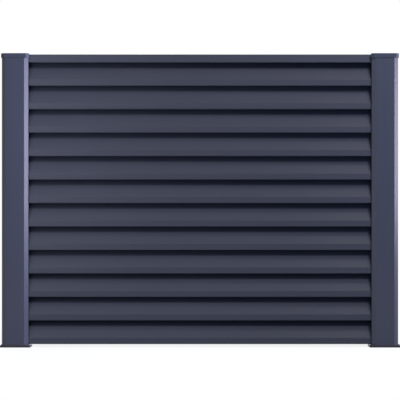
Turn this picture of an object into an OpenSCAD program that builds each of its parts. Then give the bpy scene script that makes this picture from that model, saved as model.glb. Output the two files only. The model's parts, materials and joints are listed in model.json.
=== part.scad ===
// Slatted fence panel: one bay of sloping Z-section slats between two chamfered posts on base plates.
// The left post stands on the origin, +X runs along the fence, +Y points to its back and +Z up.

/* [Bay] */
// Clear width between the two posts
bay_w = 1300; // [600:10:2000]
// Number of slats, one above the other
slat_count = 12; // [3:1:20]
// Gap between the base plates and the lowest slat
ground_gap = 3; // [2:1:60]

/* [Slats] */
// Height from one slat to the next
slat_pitch = 89; // [75:1:110]
// Depth of a slat from its front face to its back face
slat_d = 46; // [36:1:54]
// Thickness of the slat's sheet
slat_t = 2; // [1.2:0.1:3]
// Height of the upright lip at the front
front_lip_h = 24; // [16:1:34]
// Height of the upright lip at the back
back_lip_h = 28; // [16:1:36]
// Width of the return that stiffens the free edge of each lip
return_w = 8; // [6:0.5:12]
// Radius of a bend, taken at the middle of the sheet
bend_r = 2.2; // [1.6:0.1:3]
// Length of slat held inside a post at each end
slat_hold = 22; // [18:1:30]

/* [Posts] */
// Width of a post along the fence
post_w = 100; // [90:1:140]
// Depth of a post from front to back
post_d = 100; // [92:1:140]
// Chamfer down each corner of a post
post_chamfer = 15; // [8:0.5:18]
// Radius on the edges of a post's chamfers
post_edge_r = 1.5; // [0.5:0.1:3]
// Wall of the hollow post
post_wall = 2.5; // [1.5:0.1:4]

/* [Guide channels] */
// Thickness of the channel's sheet
channel_t = 2; // [1.2:0.1:3]
// Width of the tab that carries a slat's end
tab_w = 24; // [14:1:30]
// Reach of the tab from the web of the channel
tab_l = 14; // [10:1:18]
// Room for expansion between a slat's end and the web
end_gap = 3; // [1:0.5:6]

/* [Top rail] */
// Thickness of the rail's sheet
rail_t = 2; // [1.2:0.1:3]

/* [Caps] */
// Wall of the cap's skirt along the post's faces
cap_wall = 2.4; // [1.5:0.1:4]
// Wall of the cap's skirt at the post's chamfers
cap_corner_wall = 6; // [3:0.5:8]
// Height of the skirt over the post's head
cap_skirt = 14; // [6:1:30]
// Thickness of the cap's flat top
cap_roof = 3; // [2.5:0.5:8]
// Bevel round the cap's top edge
cap_bevel = 1.6; // [0.5:0.1:2.4]

/* [Base plates] */
// Thickness of a base plate
plate_t = 8; // [6:1:16]
// Radius on the corners of a base plate
plate_corner_r = 6; // [2:0.5:12]
// Diameter of an anchor hole
anchor_hole_d = 10; // [6:0.5:12]
// How far an anchor hole stands out from the middle of the post's chamfer, along each side
anchor_out = 6.5; // [6:0.5:20]
// Distance from an anchor hole's centre to the plate's edges
anchor_edge = 10; // [8:0.5:20]

/* [Fits] */
// Clearance in front of and behind a slat in its channel
slat_fit = 0.5; // [0.2:0.1:1]
// Clearance between a channel and the sides of the post's slot
channel_fit = 0.3; // [0.1:0.1:0.6]
// Clearance between a slat and the tab under it
seat_fit = 0.2; // [0.1:0.1:0.5]
// Clearance between a cap's skirt and the post
cap_fit = 0.3; // [0.1:0.1:0.6]
// Clearance between the top rail and the caps
rail_headroom = 0.5; // [0.2:0.1:10]

/* [Hidden] */
$fn = 96;
coat = "#464a5c";
shade_coat = "#3a3e4e";
// How far a cutting shape runs past the face that it cuts
over = 1;
// Flats in the round of one bend
bend_steps = 8;

// Distance between the posts' centres
post_pitch = bay_w + post_w;

// Levels above the ground
slats_z = plate_t + ground_gap;
rail_z = slats_z + slat_count * slat_pitch;
rail_h = back_lip_h + rail_t;
post_top_z = rail_z + rail_h + rail_headroom;
cap_z = post_top_z - cap_skirt;

// Slope of a slat between its two lips
slope_rise = slat_pitch - front_lip_h;
slope_a = atan2(slope_rise, slat_d - slat_t);
slope_mid_z = (front_lip_h + slat_pitch) / 2;

// Slats across the bay
slat_l = bay_w + 2 * slat_hold;
slat_x = post_w / 2 - slat_hold;

// Guide channel, and the slot in the post that takes it
channel_w = slat_d + 2 * slat_fit + 2 * channel_t;
channel_d = slat_hold + end_gap + channel_t;
channel_h = rail_z - plate_t;
channel_x = post_w / 2 - channel_d;
slot_w = channel_w + 2 * channel_fit;

// A tab lies under its slat, and its window in the web is centred on the channel
tab_drop = slat_t / 2 + seat_fit + channel_t;
tab_shift = (tab_drop + tab_l / 2) * tan(slope_a);

// Top rail, its legs standing on the flanges of the channels
rail_d = channel_w;
rail_hold = slat_hold;
rail_l = bay_w + 2 * rail_hold;

// Cap round the post's head
cap_grow = cap_fit + cap_wall;
cap_w = post_w + 2 * cap_grow;
cap_d = post_d + 2 * cap_grow;
cap_chamfer = post_chamfer + 2 * cap_grow - sqrt(2) * (cap_fit + cap_corner_wall);
notch_w = rail_d + 2 * channel_fit;

// Anchor holes in the room that the post's chamfers leave, and the plate round them
anchor_x = (post_w - post_chamfer) / 2 + anchor_out;
anchor_y = (post_d - post_chamfer) / 2 + anchor_out;
plate_w = 2 * (anchor_x + anchor_edge);
plate_d = 2 * (anchor_y + anchor_edge);

function slat_name(i) = str("slat_", i < 10 ? "0" : "", i);
function slat_z(i) = slats_z + (i - 1) * slat_pitch;

// Corners of a rectangle about the origin
function rectangle(w, d) = [[w / 2, d / 2], [-w / 2, d / 2], [-w / 2, -d / 2], [w / 2, -d / 2]];

// Corners of a rectangle about the origin with each corner cut at 45 degrees
function chamfered(w, d, c) = [
    for (p = rectangle(w, d))
        let (sx = sign(p.x), sy = sign(p.y))
        each sx == sy
            ? [[p.x, p.y - sy * c], [p.x - sx * c, p.y]]
            : [[p.x - sx * c, p.y], [p.x, p.y - sy * c]]
];

// Chamfer of an outline that lies g outside one with chamfer c
function grown_chamfer(c, g) = c + g * (2 - sqrt(2));

// Direction from one point to another
function heading(a, b) = (b - a) / norm(b - a);

// Angle turned through at b on the way from a to c
function turn(a, b, c) = acos(heading(a, b) * heading(b, c));

// Length that an arc of radius r at b takes off each of its two sides
function setback(a, b, c, r) = r * tan(turn(a, b, c) / 2);

// Centre of the arc of radius r that rounds the corner at b
function arc_centre(a, b, c, r) =
    let (u = heading(a, b), side = sign(cross(u, heading(b, c))))
    b - setback(a, b, c, r) * u + r * side * [-u.y, u.x];

// Convex outline through the given corners, each rounded to radius r
module rounded(corners, r) {
    n = len(corners);
    function before(i) = corners[(i + n - 1) % n];
    function after(i) = corners[(i + 1) % n];
    polygon([
        for (i = [0 : n - 1])
            let (b = corners[i], s = setback(before(i), b, after(i), r))
            each [b - s * heading(before(i), b), b + s * heading(b, after(i))]
    ]);
    for (i = [0 : n - 1])
        translate(arc_centre(before(i), corners[i], after(i), r))
            circle(r);
}

// Point beside p, a distance g to the left of the way u
function beside(p, u, g) = p + g * [-u.y, u.x];

// Points round the bend at b, a distance g to the left of a sheet bent to radius r at its middle
function bend(a, b, c, r, g) =
    let (u = heading(a, b), side = sign(cross(u, heading(b, c))), start = atan2(-side * u.x, side * u.y))
    [
        for (k = [0 : bend_steps])
            let (angle = start + side * turn(a, b, c) * k / bend_steps)
            arc_centre(a, b, c, r) + (r - side * g) * [cos(angle), sin(angle)]
    ];

// Outline a distance g to the left of a sheet folded to radius r at each inner point of a path
function folded_side(path, r, g) =
    let (last = len(path) - 1)
    [
        beside(path[0], heading(path[0], path[1]), g),
        for (i = [1 : last - 1]) each bend(path[i - 1], path[i], path[i + 1], r, g),
        beside(path[last], heading(path[last - 1], path[last]), g)
    ];

// Cross-section of a sheet of thickness t folded along a path
module folded_sheet(path, t, r) {
    left = folded_side(path, r, t / 2);
    right = folded_side(path, r, -t / 2);
    polygon(concat(left, [for (k = [len(right) - 1 : -1 : 0]) right[k]]));
}

// A section drawn as depth across and height up, run along the fence
module along_fence(length) {
    rotate([90, 0, 90])
        linear_extrude(height = length)
            children();
}

// A piece of the left post's set, turned round for the right post
module for_right_post() {
    translate([post_pitch, 0, 0])
        mirror([1, 0, 0])
            children();
}

// Hollow post with a slot down the side that faces the bay
module post() {
    inner_w = post_w - 2 * post_wall;
    inner_d = post_d - 2 * post_wall;
    housing_w = slot_w + 2 * post_wall;
    color(coat)
        translate([0, 0, plate_t])
            linear_extrude(height = post_top_z - plate_t)
                difference() {
                    rounded(chamfered(post_w, post_d, post_chamfer), post_edge_r);
                    difference() {
                        polygon(chamfered(inner_w, inner_d, grown_chamfer(post_chamfer, -post_wall)));
                        translate([channel_x - post_wall, -housing_w / 2])
                            square([post_w, housing_w]);
                    }
                    translate([channel_x, -slot_w / 2])
                        square([channel_d + over, slot_w]);
                }
}

// Cap that sits on the post's head, with a notch in its skirt for the top rail
module cap() {
    cavity_chamfer = grown_chamfer(post_chamfer, cap_fit);
    top_chamfer = grown_chamfer(cap_chamfer, -cap_bevel);
    color(coat)
        translate([0, 0, cap_z])
            difference() {
                hull() {
                    linear_extrude(height = cap_skirt + cap_roof - cap_bevel)
                        polygon(chamfered(cap_w, cap_d, cap_chamfer));
                    linear_extrude(height = cap_skirt + cap_roof)
                        polygon(chamfered(cap_w - 2 * cap_bevel, cap_d - 2 * cap_bevel, top_chamfer));
                }
                translate([0, 0, -over])
                    linear_extrude(height = cap_skirt + over)
                        polygon(chamfered(post_w + 2 * cap_fit, post_d + 2 * cap_fit, cavity_chamfer));
                translate([post_w / 2 - over, -notch_w / 2, -over])
                    cube([cap_grow + 2 * over, notch_w, cap_skirt + over]);
            }
}

// Base plate with an anchor hole in each corner
module base_plate() {
    color(shade_coat)
        difference() {
            linear_extrude(height = plate_t)
                rounded(rectangle(plate_w, plate_d), plate_corner_r);
            for (x = [-anchor_x, anchor_x], y = [-anchor_y, anchor_y])
                translate([x, y, -over])
                    cylinder(d = anchor_hole_d, h = plate_t + 2 * over);
        }
}

// Places a shape at the root of the tab under slat i, turned to the slope, just under the sheet
module at_tab(i) {
    translate([channel_x, 0, slat_z(i) + slope_mid_z])
        rotate([slope_a, 0, 0])
            translate([0, -tab_shift - tab_w / 2, -tab_drop])
                children();
}

// Folded channel in the post's slot, with a tab pressed out of its web under every slat
module guide_channel() {
    web_x = channel_x + channel_t / 2;
    flange_y = (channel_w - channel_t) / 2;
    color(shade_coat) {
        difference() {
            translate([0, 0, plate_t])
                linear_extrude(height = channel_h)
                    folded_sheet([
                        [post_w / 2, -flange_y],
                        [web_x, -flange_y],
                        [web_x, flange_y],
                        [post_w / 2, flange_y]
                    ], channel_t, bend_r);
            for (i = [1 : slat_count])
                at_tab(i)
                    translate([-over, 0, -tab_l])
                        cube([channel_t + 2 * over, tab_w, tab_l]);
        }
        for (i = [1 : slat_count])
            at_tab(i)
                cube([channel_t + tab_l, tab_w, channel_t]);
    }
}

// Folded rail over the top slat
module top_rail() {
    leg_y = (rail_d - rail_t) / 2;
    roof_z = rail_h - rail_t / 2;
    color(coat)
        translate([post_w / 2 - rail_hold, 0, rail_z])
            along_fence(rail_l)
                folded_sheet([[-leg_y, 0], [-leg_y, roof_z], [leg_y, roof_z], [leg_y, 0]], rail_t, bend_r);
}

// Slat folded to a Z: a lip in front, a slope up and back, and a lip behind the slat above
module slat(i) {
    face_y = (slat_d - slat_t) / 2;
    return_y = slat_d / 2 - return_w;
    bottom_z = slat_t / 2;
    top_z = slat_pitch + back_lip_h - slat_t / 2;
    color(coat)
        translate([slat_x, 0, slat_z(i)])
            along_fence(slat_l)
                folded_sheet([
                    [-return_y, bottom_z],
                    [-face_y, bottom_z],
                    [-face_y, front_lip_h],
                    [face_y, slat_pitch],
                    [face_y, top_z],
                    [return_y, top_z]
                ], slat_t, bend_r);
}

post();  // left_post
for_right_post() post();  // right_post
cap();  // left_cap
for_right_post() cap();  // right_cap
base_plate();  // left_base_plate
for_right_post() base_plate();  // right_base_plate
guide_channel();  // left_guide_channel
for_right_post() guide_channel();  // right_guide_channel
top_rail();
for (i = [1 : slat_count])
    slat(i);
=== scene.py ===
import json
import math
import bmesh
import bpy
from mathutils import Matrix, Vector


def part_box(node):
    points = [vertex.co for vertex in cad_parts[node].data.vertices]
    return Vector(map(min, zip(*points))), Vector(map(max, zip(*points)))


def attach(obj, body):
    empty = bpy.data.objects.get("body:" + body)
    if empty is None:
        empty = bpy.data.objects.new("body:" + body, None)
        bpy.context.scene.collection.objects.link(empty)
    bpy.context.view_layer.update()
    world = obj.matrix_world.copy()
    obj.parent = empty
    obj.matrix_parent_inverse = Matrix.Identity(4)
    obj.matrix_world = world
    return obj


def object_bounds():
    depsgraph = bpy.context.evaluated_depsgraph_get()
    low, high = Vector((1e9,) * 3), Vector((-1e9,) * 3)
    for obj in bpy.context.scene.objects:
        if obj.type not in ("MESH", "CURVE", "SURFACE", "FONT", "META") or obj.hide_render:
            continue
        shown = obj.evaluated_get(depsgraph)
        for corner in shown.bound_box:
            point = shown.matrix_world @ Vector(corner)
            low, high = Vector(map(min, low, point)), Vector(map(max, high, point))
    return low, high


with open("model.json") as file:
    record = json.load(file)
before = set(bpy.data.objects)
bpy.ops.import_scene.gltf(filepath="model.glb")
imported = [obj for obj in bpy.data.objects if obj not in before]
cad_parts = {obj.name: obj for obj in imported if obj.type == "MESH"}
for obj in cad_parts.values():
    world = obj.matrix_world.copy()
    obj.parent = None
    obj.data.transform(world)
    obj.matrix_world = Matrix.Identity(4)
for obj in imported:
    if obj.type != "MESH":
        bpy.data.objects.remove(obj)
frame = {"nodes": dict(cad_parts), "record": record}  # the fence bay as built, in metres
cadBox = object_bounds()
fenceNodes = frame["nodes"]
scene = bpy.context.scene
scene.view_settings.view_transform = "Standard"

bayMiddle = (cadBox[0] + cadBox[1]) / 2
postLow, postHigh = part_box("left_post")
print("frame loaded:", len(fenceNodes), "pieces")


# node helpers

def addNode(tree, kind, inputs=None, **settings):
    node = tree.nodes.new(kind)
    for name, value in settings.items():
        setattr(node, name, value)
    for socket, value in (inputs or {}).items():
        node.inputs[socket].default_value = value
    return node


def wire(tree, source, target):
    tree.links.new(source, target)


def newGroup(name, inputs, outputs):
    group = bpy.data.node_groups.new(name, "ShaderNodeTree")
    for socket, kind, value in inputs:
        made = group.interface.new_socket(socket, in_out="INPUT", socket_type=kind)
        made.default_value = value
    for socket, kind in outputs:
        group.interface.new_socket(socket, in_out="OUTPUT", socket_type=kind)
    return group, addNode(group, "NodeGroupInput"), addNode(group, "NodeGroupOutput")


def mathNode(tree, operation, first, second=None, clamp=False):
    node = addNode(tree, "ShaderNodeMath", operation=operation, use_clamp=clamp)
    for socket, value in zip(node.inputs, (first, second)):
        if hasattr(value, "is_output"):
            wire(tree, value, socket)
        elif value is not None:
            socket.default_value = value
    return node.outputs[0]


def shownRays(tree):  # 1 for rays that end up as picture or reflection
    path = addNode(tree, "ShaderNodeLightPath")
    seen = mathNode(tree, "MAXIMUM", path.outputs["Is Camera Ray"], path.outputs["Is Glossy Ray"])
    return mathNode(tree, "MAXIMUM", seen, path.outputs["Is Transmission Ray"])


# mesh helpers

def deselectAll():
    bpy.ops.object.select_all(action="DESELECT")


def pick(piece, kind, test):  # selects the vertices, edges or faces that pass the test
    bpy.ops.mesh.select_mode(type=kind)
    bpy.ops.mesh.select_all(action="DESELECT")
    mesh = bmesh.from_edit_mesh(piece.data)
    for item in {"VERT": mesh.verts, "EDGE": mesh.edges, "FACE": mesh.faces}[kind]:
        if test(item):
            item.select_set(True)
    mesh.select_flush_mode()
    bmesh.update_edit_mesh(piece.data)


# weld bead round the foot of each post

weldBead = dict(
    leg=0.0034,  # up the post and out over the plate
    chamfer=0.015,  # of the post's corners
    step=0.002,  # half a ripple
    ripple=0.0004,
    mouth=0.0265,  # half the slot's mouth, which stays open
    crown=0.0026,  # rounding of the bead's outer edge
    crownCuts=4,
    smoothAngle=math.radians(40),
)

footMiddle = Vector(((postLow.x + postHigh.x) / 2, (postLow.y + postHigh.y) / 2, postLow.z))
postHalf = (postHigh - postLow) / 2


def beyondPost(point):  # how far a point lies outside the post's outline
    away = point - footMiddle
    cut = postHalf.x + postHalf.y - weldBead["chamfer"]
    slant = (abs(away.x) + abs(away.y) - cut) / math.sqrt(2)
    return max(abs(away.x) - postHalf.x, abs(away.y) - postHalf.y, slant)


def onRim(vertex):  # on the bead's outer edge
    return beyondPost(vertex.co) > weldBead["leg"] / 2


def outlineRing():  # a flat ring round the post's outline, one leg wide, with a rippled outer edge
    leg, step = weldBead["leg"], weldBead["step"]
    chamfer = weldBead["chamfer"] + leg * (2 - math.sqrt(2))  # of the ring's outer edge
    deselectAll()
    bpy.ops.mesh.primitive_plane_add(size=2 * (postHalf.x + leg), location=footMiddle)
    bead = bpy.context.object
    bpy.ops.object.transform_apply(location=True, rotation=True, scale=True)
    bpy.ops.object.mode_set(mode="EDIT")
    bpy.ops.mesh.select_all(action="SELECT")
    deeper = (postHalf.y + leg) / (postHalf.x + leg)
    bpy.ops.transform.resize(value=(1, deeper, 1), center_override=footMiddle)
    bpy.ops.mesh.bevel(offset=chamfer, affect="VERTICES")
    for length in (2 * (postHalf.x + leg - chamfer), chamfer * math.sqrt(2)):
        pick(bead, "EDGE", lambda edge: abs(edge.calc_length() - length) < step / 2)
        bpy.ops.mesh.subdivide(number_cuts=round(length / step) - 1)
    bpy.ops.mesh.select_mode(type="FACE")
    bpy.ops.mesh.select_all(action="SELECT")
    bpy.ops.mesh.inset(thickness=leg, use_boundary=True)
    bpy.ops.mesh.delete(type="FACE")
    mesh = bmesh.from_edit_mesh(bead.data)
    rim = [v for v in mesh.verts if onRim(v)]
    rim.sort(key=lambda v: math.atan2(v.co.y - footMiddle.y, v.co.x - footMiddle.x))
    crests = {v.index for v in rim[::2]}
    pick(bead, "VERT", lambda v: v.index in crests)
    swell = 1 + weldBead["ripple"] / postHalf.x
    bpy.ops.transform.resize(value=(swell, swell, 1), center_override=footMiddle)
    return bead


def raiseBead(bead):  # the ring gets its height and its crown, and stays clear of the slot's mouth
    top = footMiddle.z + weldBead["leg"]
    bpy.ops.mesh.select_all(action="SELECT")
    bpy.ops.mesh.extrude_region_move(TRANSFORM_OT_translate={"value": (0, 0, weldBead["leg"])})

    def onCrown(edge):
        return all(abs(v.co.z - top) < weldBead["ripple"] and onRim(v) for v in edge.verts)

    pick(bead, "EDGE", onCrown)
    bpy.ops.mesh.bevel(offset=weldBead["crown"], segments=weldBead["crownCuts"], affect="EDGES")

    def inMouth(face):
        middle = face.calc_center_median()
        return middle.x > postHigh.x - weldBead["ripple"] and abs(middle.y) < weldBead["mouth"]

    pick(bead, "FACE", inMouth)
    bpy.ops.mesh.delete(type="FACE")
    bpy.ops.mesh.select_mode(type="EDGE")
    bpy.ops.mesh.select_non_manifold()
    bpy.ops.mesh.fill_holes(sides=0)
    bpy.ops.mesh.select_all(action="SELECT")
    bpy.ops.mesh.normals_make_consistent(inside=False)
    bpy.ops.object.mode_set(mode="OBJECT")
    bpy.ops.object.shade_smooth_by_angle(angle=weldBead["smoothAngle"])


def weldPosts():
    left = outlineRing()
    raiseBead(left)
    left.name = left.data.name = "leftWeldBead"
    deselectAll()
    left.select_set(True)
    bpy.ops.object.duplicate(linked=False)
    right = bpy.context.object
    right.name = right.data.name = "rightWeldBead"
    bpy.ops.object.mode_set(mode="EDIT")
    bpy.ops.mesh.select_all(action="SELECT")
    bpy.ops.transform.resize(value=(-1, 1, 1), center_override=bayMiddle)
    bpy.ops.mesh.normals_make_consistent(inside=False)
    bpy.ops.object.mode_set(mode="OBJECT")
    for bead in (left, right):
        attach(bead, "root")
    return left, right


weldBeads = weldPosts()
print("posts welded to their plates")


# camera: level, square on to the middle of the bay, through a long lens

cameraSetup = dict(
    distance=10.0,  # from the front of the posts
    pictureWidth=1.512,  # width of fence that fills the picture
    eyeHeight=0.5573,
    sensor=36.0,
    clipEnd=200.0,  # takes in the far end of the floor
)


def placeCamera():
    deselectAll()
    bpy.ops.object.camera_add(
        location=(bayMiddle.x, postLow.y - cameraSetup["distance"], cameraSetup["eyeHeight"]),
        rotation=(math.pi / 2, 0, 0),
    )
    camera = bpy.context.object
    camera.name = "studioCamera"
    camera.data.sensor_width = cameraSetup["sensor"]
    camera.data.lens = cameraSetup["sensor"] * cameraSetup["distance"] / cameraSetup["pictureWidth"]
    camera.data.clip_end = cameraSetup["clipEnd"]
    scene.camera = camera


placeCamera()
print("camera placed")


# studio: white surroundings, pale floor, soft boxes

plainWhite = (1, 1, 1, 1)

surroundings = dict(
    fill=0.15,  # what lights the fence
    fillTint=(0.94, 0.98, 1.08),
    white=1.0,  # what the picture and reflections show
)

floorLook = dict(
    size=60.0,
    drop=0.0004,  # kept just clear of the plates' undersides
    paint=0.8,  # as the picture and reflections show it
    bounce=0.1,  # as it throws light back at the fence
    glow=0.8,  # share of plain white near the fence, the rest takes shadow
    fadeStart=0.9,  # distance from the middle of the bay at which the floor starts to go white
    fadeEnd=2.4,  # plain white from here on
)

leftSet = ("left_post", "left_cap", "left_base_plate", "leftWeldBead")
rightSet = ("right_post", "right_cap", "right_base_plate", "rightWeldBead")
bothPosts = leftSet + rightSet
infill = tuple(name for name in fenceNodes if name not in bothPosts)

softboxes = dict(  # each lamp's level is the brightness of its face, where 1 is white
    floorTop=dict(  # gives the floor its shadow, and leaves the fence alone
        at=(0.7, -1.3, 3.0), aim=(0.7, 0, 0), size=(3.0, 2.2),
        level=4.5, tint=(1, 1, 1), only=("studioFloor",),
    ),
    backBox=dict(  # for the back and the tops
        at=(0.2, 3.0, 1.5), aim=(0.7, 0, 0.5), size=(2.4, 1.8),
        level=6.4, tint=(0.98, 1.0, 1.02),
    ),
    slatKey=dict(  # far off, so that every slat is lit alike
        at=(3.3, -7.2, 5.9), aim=(1.0, 0, 0.6), size=(1.6, 1.6),
        level=45.6, tint=(1.07, 1.0, 0.87), only=infill,
    ),
    slatTop=dict(  # lifts the slopes towards the right-hand end
        at=(1.6, -0.7, 1.75), aim=(1.4, 0, 0.9), size=(0.4, 0.4),
        level=11.0, tint=(1.1, 1.0, 0.93), only=infill,
    ),
    slatLeft=dict(
        at=(-0.15, -0.9, 0.9), aim=(0.15, 0, 0.7), size=(0.4, 1.4),
        level=3.8, tint=(0.98, 1.0, 1.01), only=infill,
    ),
    slatRight=dict(
        at=(1.6, -0.9, 0.7), aim=(1.3, 0, 0.6), size=(0.3, 1.0),
        level=0.8, tint=(0.5, 1.0, 1.75), only=infill,
    ),
    postKey=dict(  # faces of the posts
        at=(1.5, -2.0, 2.6), aim=(0.8, 0, 0.6), size=(1.4, 1.4),
        level=9.2, tint=(0.92, 1.0, 1.16), only=bothPosts + ("studioFloor",),
    ),
    postSide=dict(
        at=(-2.6, -1.0, 0.9), aim=(0.7, 0, 0.6), size=(0.8, 1.6),
        level=6.3, tint=(1.02, 1.0, 0.92), only=bothPosts,
    ),
    postFoot=dict(
        at=(0.7, -0.7, 0.08), aim=(0.7, 0, 0.15), size=(1.8, 0.15),
        level=1.2, tint=(1.15, 1.0, 1.03), only=bothPosts,
    ),
    leftStrip=dict(  # bright chamfer towards the bay
        at=(1.1, -0.3, 0.82), aim=(0, -0.3, 0.82), size=(0.5, 0.75),
        level=22.5, tint=(1.06, 1.0, 1.2), only=leftSet,
    ),
    rightStrip=dict(  # bright chamfer on the outside
        at=(2.5, -0.05, 0.82), aim=(1.4, -0.05, 0.82), size=(0.7, 0.75),
        level=13.4, tint=(1.08, 1.0, 1.2), only=rightSet,
    ),
)


def buildSurroundings():
    world = bpy.data.worlds.new("whiteStudio")
    scene.world = world
    world.use_nodes = True
    tree = world.node_tree
    tree.nodes.clear()
    tint = (*surroundings["fillTint"], 1)
    fill = addNode(tree, "ShaderNodeBackground", {
        "Color": tint,
        "Strength": surroundings["fill"],
    })
    white = addNode(tree, "ShaderNodeBackground", {
        "Color": plainWhite,
        "Strength": surroundings["white"],
    })
    mix = addNode(tree, "ShaderNodeMixShader")
    out = addNode(tree, "ShaderNodeOutputWorld")
    wire(tree, shownRays(tree), mix.inputs[0])
    wire(tree, fill.outputs[0], mix.inputs[1])
    wire(tree, white.outputs[0], mix.inputs[2])
    wire(tree, mix.outputs[0], out.inputs["Surface"])


def buildFloor():
    deselectAll()
    bpy.ops.mesh.primitive_plane_add(
        size=floorLook["size"],
        location=(bayMiddle.x, 0, cadBox[0].z - floorLook["drop"]),
    )
    floor = bpy.context.object
    floor.name = "studioFloor"
    material = bpy.data.materials.new("paleFloor")
    material.use_nodes = True
    tree = material.node_tree
    tree.nodes.clear()
    shown = shownRays(tree)
    paleness = addNode(tree, "ShaderNodeMapRange", {
        "To Min": floorLook["bounce"],
        "To Max": floorLook["paint"],
    })
    paint = addNode(tree, "ShaderNodeBsdfDiffuse")
    glow = addNode(tree, "ShaderNodeEmission", {"Color": plainWhite, "Strength": 1.0})
    place = addNode(tree, "ShaderNodeTexCoord")
    reach = addNode(tree, "ShaderNodeVectorMath", operation="LENGTH")
    fade = addNode(tree, "ShaderNodeMapRange", {
        "From Min": floorLook["fadeStart"],
        "From Max": floorLook["fadeEnd"],
        "To Min": floorLook["glow"],
        "To Max": 1.0,
    }, interpolation_type="SMOOTHSTEP")
    mix = addNode(tree, "ShaderNodeMixShader")
    out = addNode(tree, "ShaderNodeOutputMaterial")
    wire(tree, place.outputs["Object"], reach.inputs[0])
    wire(tree, reach.outputs["Value"], fade.inputs["Value"])
    wire(tree, shown, paleness.inputs["Value"])
    wire(tree, paleness.outputs[0], paint.inputs["Color"])
    wire(tree, mathNode(tree, "MULTIPLY", shown, fade.outputs[0]), mix.inputs[0])
    wire(tree, paint.outputs[0], mix.inputs[1])
    wire(tree, glow.outputs[0], mix.inputs[2])
    wire(tree, mix.outputs[0], out.inputs["Surface"])
    floor.data.materials.append(material)
    return floor


def hangSoftbox(name, box):
    aim = Vector(box["aim"]) - Vector(box["at"])
    deselectAll()
    bpy.ops.object.light_add(
        type="AREA",
        location=box["at"],
        rotation=aim.to_track_quat("-Z", "Y").to_euler(),
    )
    light = bpy.context.object
    light.name = name
    light.data.shape = "RECTANGLE"
    light.data.size, light.data.size_y = box["size"]
    light.data.color = box["tint"]
    light.data.energy = box["level"] * math.pi * box["size"][0] * box["size"][1]  # watts
    if "only" in box:  # flagged off everything but these
        lit = bpy.data.collections.new(name + "Lit")
        for pieceName in box["only"]:
            lit.objects.link(litPieces[pieceName])
        light.light_linking.receiver_collection = lit


buildSurroundings()
studioFloor = buildFloor()
litPieces = dict(fenceNodes, studioFloor=studioFloor)
litPieces.update({bead.name: bead for bead in weldBeads})
for boxName, box in softboxes.items():
    hangSoftbox(boxName, box)
print("studio lit by", len(softboxes), "soft boxes")


# shared effects of the powder coat

powderSkin = dict(
    peelSize=0.002,  # orange peel, unless a coat says otherwise
    peelDetail=2.0,
    peelRoughness=0.45,
    gritPerPeel=4.5,  # how much finer the grit is
    gritDetail=1.0,
    gritRoughness=0.5,
    gritShare=0.3,
    fleckStart=0.6,  # grit that stands above this shows as a pale fleck
    fleckFull=0.72,
)


def powderSkinGroup():  # orange peel and fine grit of a sprayed coat
    group, given, out = newGroup(
        "powderSkin",
        [
            ("Peel Size", "NodeSocketFloat", powderSkin["peelSize"]),
            ("Grit Share", "NodeSocketFloat", powderSkin["gritShare"]),
        ],
        [("Height", "NodeSocketFloat"), ("Fleck", "NodeSocketFloat")],
    )
    place = addNode(group, "ShaderNodeTexCoord")
    peelScale = mathNode(group, "DIVIDE", 1.0, given.outputs["Peel Size"])
    gritScale = mathNode(group, "MULTIPLY", peelScale, powderSkin["gritPerPeel"])
    peel = addNode(group, "ShaderNodeTexNoise", {
        "Detail": powderSkin["peelDetail"],
        "Roughness": powderSkin["peelRoughness"],
    })
    grit = addNode(group, "ShaderNodeTexNoise", {
        "Detail": powderSkin["gritDetail"],
        "Roughness": powderSkin["gritRoughness"],
    })
    for noise, scale in ((peel, peelScale), (grit, gritScale)):
        wire(group, place.outputs["Object"], noise.inputs["Vector"])
        wire(group, scale, noise.inputs["Scale"])
    height = addNode(group, "ShaderNodeMix")
    wire(group, given.outputs["Grit Share"], height.inputs["Factor"])
    wire(group, peel.outputs["Fac"], height.inputs["A"])
    wire(group, grit.outputs["Fac"], height.inputs["B"])
    fleck = addNode(group, "ShaderNodeMapRange", {
        "From Min": powderSkin["fleckStart"],
        "From Max": powderSkin["fleckFull"],
    }, interpolation_type="SMOOTHSTEP")
    wire(group, grit.outputs["Fac"], fleck.inputs["Value"])
    wire(group, height.outputs["Result"], out.inputs["Height"])
    wire(group, fleck.outputs[0], out.inputs["Fleck"])
    return group


acrossX = (0.5, 60, 60)  # lines run along the fence
acrossZ = (60, 60, 0.5)  # lines run up a post
noRun = (2.5, 2.5, 2.5)  # broad patches instead of lines

rollLines = dict(detail=3.0, roughness=0.55)


def rollLinesGroup():  # faint lines left along a profile by the rolls or the die
    group, given, out = newGroup(
        "rollLines",
        [("Lines Per Metre", "NodeSocketVector", acrossX)],
        [("Line", "NodeSocketFloat")],
    )
    place = addNode(group, "ShaderNodeTexCoord")
    stretch = addNode(group, "ShaderNodeVectorMath", operation="MULTIPLY")
    noise = addNode(group, "ShaderNodeTexNoise", {
        "Scale": 1.0,
        "Detail": rollLines["detail"],
        "Roughness": rollLines["roughness"],
    })
    wire(group, place.outputs["Object"], stretch.inputs[0])
    wire(group, given.outputs["Lines Per Metre"], stretch.inputs[1])
    wire(group, stretch.outputs[0], noise.inputs["Vector"])
    wire(group, noise.outputs["Fac"], out.inputs["Line"])
    return group


softEdge = dict(
    radius=0.001,  # unless a coat says otherwise
    samples=6,
    flat=0.99,  # agreement of the rounded and the true normal where an edge begins to show
    sharp=0.8,
)


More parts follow.
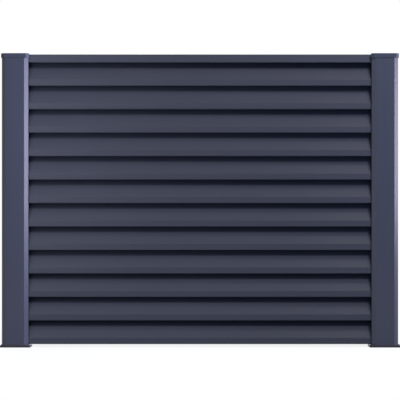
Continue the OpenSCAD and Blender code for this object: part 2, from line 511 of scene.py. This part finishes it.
def softEdgeGroup():  # rounds the light over sharp edges, and says where they are
    group, given, out = newGroup(
        "softEdge",
        [("Radius", "NodeSocketFloat", softEdge["radius"])],
        [("Normal", "NodeSocketVector"), ("Edge", "NodeSocketFloat")],
    )
    bevel = addNode(group, "ShaderNodeBevel", samples=softEdge["samples"])
    geometry = addNode(group, "ShaderNodeNewGeometry")
    agree = addNode(group, "ShaderNodeVectorMath", operation="DOT_PRODUCT")
    edge = addNode(group, "ShaderNodeMapRange", {
        "From Min": softEdge["flat"],
        "From Max": softEdge["sharp"],
    }, interpolation_type="SMOOTHSTEP")
    wire(group, given.outputs["Radius"], bevel.inputs["Radius"])
    wire(group, bevel.outputs["Normal"], agree.inputs[0])
    wire(group, geometry.outputs["Normal"], agree.inputs[1])
    wire(group, agree.outputs["Value"], edge.inputs["Value"])
    wire(group, bevel.outputs["Normal"], out.inputs["Normal"])
    wire(group, edge.outputs[0], out.inputs["Edge"])
    return group


coatTone = dict(
    cloudSize=0.4,
    cloudDetail=3.0,
    cloudRoughness=0.5,
    fleckLift=0.3,  # how much paler a fleck is
    edgeHighlight=0.22,  # how much paler an edge is: a painted edge highlight, with the coat a little thinner there
    driftGloss=0.6,  # how far the gloss follows the drift of the colour
    edgeGloss=0.06,  # polish along the edges
)


def coatToneGroup():  # colour and gloss of the coat as they drift over a piece
    group, given, out = newGroup(
        "coatTone",
        [
            ("Coat", "NodeSocketColor", (0.04, 0.045, 0.07, 1)),
            ("Roughness", "NodeSocketFloat", 0.42),
            ("Cloud Size", "NodeSocketFloat", coatTone["cloudSize"]),
            ("Drift", "NodeSocketFloat", 0.1),
            ("Line", "NodeSocketFloat", 0.5),
            ("Fleck", "NodeSocketFloat", 0.0),
            ("Edge", "NodeSocketFloat", 0.0),
        ],
        [("Colour", "NodeSocketColor"), ("Roughness", "NodeSocketFloat")],
    )
    place = addNode(group, "ShaderNodeTexCoord")
    cloud = addNode(group, "ShaderNodeTexNoise", {
        "Detail": coatTone["cloudDetail"],
        "Roughness": coatTone["cloudRoughness"],
    })
    wire(group, place.outputs["Object"], cloud.inputs["Vector"])
    wire(group, mathNode(group, "DIVIDE", 1.0, given.outputs["Cloud Size"]), cloud.inputs["Scale"])
    both = mathNode(group, "ADD", cloud.outputs["Fac"], given.outputs["Line"])
    centred = mathNode(group, "SUBTRACT", both, 1.0)  # cloud and line lie about 0.5 each
    swing = mathNode(group, "MULTIPLY", centred, given.outputs["Drift"])
    fleck = mathNode(group, "MULTIPLY", given.outputs["Fleck"], coatTone["fleckLift"])
    lift = mathNode(group, "ADD", fleck, 1.0)
    # every edge turns paler: a painted edge highlight
    paintedEdge = mathNode(group, "MULTIPLY", given.outputs["Edge"], coatTone["edgeHighlight"])
    value = mathNode(group, "ADD", mathNode(group, "ADD", swing, lift), paintedEdge)
    tone = addNode(group, "ShaderNodeVectorMath", operation="SCALE")
    wire(group, given.outputs["Coat"], tone.inputs[0])
    wire(group, value, tone.inputs["Scale"])
    dulled = mathNode(group, "MULTIPLY", swing, coatTone["driftGloss"])
    polished = mathNode(group, "MULTIPLY", given.outputs["Edge"], coatTone["edgeGloss"])
    gloss = mathNode(group, "ADD", given.outputs["Roughness"], dulled)
    gloss = mathNode(group, "SUBTRACT", gloss, polished, clamp=True)
    wire(group, tone.outputs[0], out.inputs["Colour"])
    wire(group, gloss, out.inputs["Roughness"])
    return group


coatEffects = dict(
    skin=powderSkinGroup(),
    lines=rollLinesGroup(),
    edge=softEdgeGroup(),
    tone=coatToneGroup(),
)
print("coat effects built")


# powder coats, one for each slot of the record

coats = dict(
    post_coat=dict(
        colour=(0.049, 0.0555, 0.088), roughness=0.38, specular=0.18, run=acrossZ, drift=0.14,
        peel=0.0021, bump=0.00016, edge=0.0012,
    ),
    slat_coat=dict(
        colour=(0.049, 0.0555, 0.088), roughness=0.42, specular=0.12, run=acrossX, drift=0.16,
        peel=0.0018, bump=0.00016, edge=0.0009,
    ),
    cap_coat=dict(
        colour=(0.049, 0.0555, 0.088), roughness=0.56, specular=0.12, run=noRun, drift=0.14,
        peel=0.0024, bump=0.00012, edge=0.001,
    ),
    # the plate's coat is darker and greyer than the posts': painted shade of the foot, where the
    # plate's edge lies in shade
    plate_coat=dict(
        colour=(0.031, 0.032, 0.044), roughness=0.48, specular=0.18, run=noRun, drift=0.2,
        peel=0.0026, bump=0.0002, edge=0.0012,
    ),
    channel_coat=dict(
        colour=(0.04, 0.045, 0.07), roughness=0.46, specular=0.18, run=acrossZ, drift=0.14,
        peel=0.0018, bump=0.00016, edge=0.0008,
    ),
)

coatIor = 1.5  # of every coat


def effectNode(tree, effect, values):
    return addNode(tree, "ShaderNodeGroup", values, node_tree=coatEffects[effect])


def mixCoat(name, look):
    material = bpy.data.materials.new(name)
    material.use_nodes = True
    tree = material.node_tree
    shader = tree.nodes["Principled BSDF"]
    shader.inputs["IOR"].default_value = coatIor
    shader.inputs["Specular IOR Level"].default_value = look["specular"]
    skin = effectNode(tree, "skin", {"Peel Size": look["peel"]})
    lines = effectNode(tree, "lines", {"Lines Per Metre": look["run"]})
    edge = effectNode(tree, "edge", {"Radius": look["edge"]})
    tone = effectNode(tree, "tone", {
        "Coat": (*look["colour"], 1),
        "Roughness": look["roughness"],
        "Drift": look["drift"],
    })
    bump = addNode(tree, "ShaderNodeBump", {"Strength": 1.0, "Distance": look["bump"]})
    wire(tree, lines.outputs["Line"], tone.inputs["Line"])
    wire(tree, skin.outputs["Fleck"], tone.inputs["Fleck"])
    wire(tree, edge.outputs["Edge"], tone.inputs["Edge"])
    wire(tree, skin.outputs["Height"], bump.inputs["Height"])
    wire(tree, edge.outputs["Normal"], bump.inputs["Normal"])
    wire(tree, tone.outputs["Colour"], shader.inputs["Base Color"])
    wire(tree, tone.outputs["Roughness"], shader.inputs["Roughness"])
    wire(tree, bump.outputs["Normal"], shader.inputs["Normal"])
    return material


coatMaterials = {slot: mixCoat(slot, look) for slot, look in coats.items()}
for subpart in frame["record"]["subparts"]:
    for materialSlot in fenceNodes[subpart["node"]].material_slots:
        materialSlot.material = coatMaterials[subpart["material_slot"]]
# the beads take the plate's darker coat: painted shade where the post meets the plate
for bead in weldBeads:
    bead.data.materials.append(coatMaterials["plate_coat"])
print("coats on:", ", ".join(coats))


# done

print("scene built")
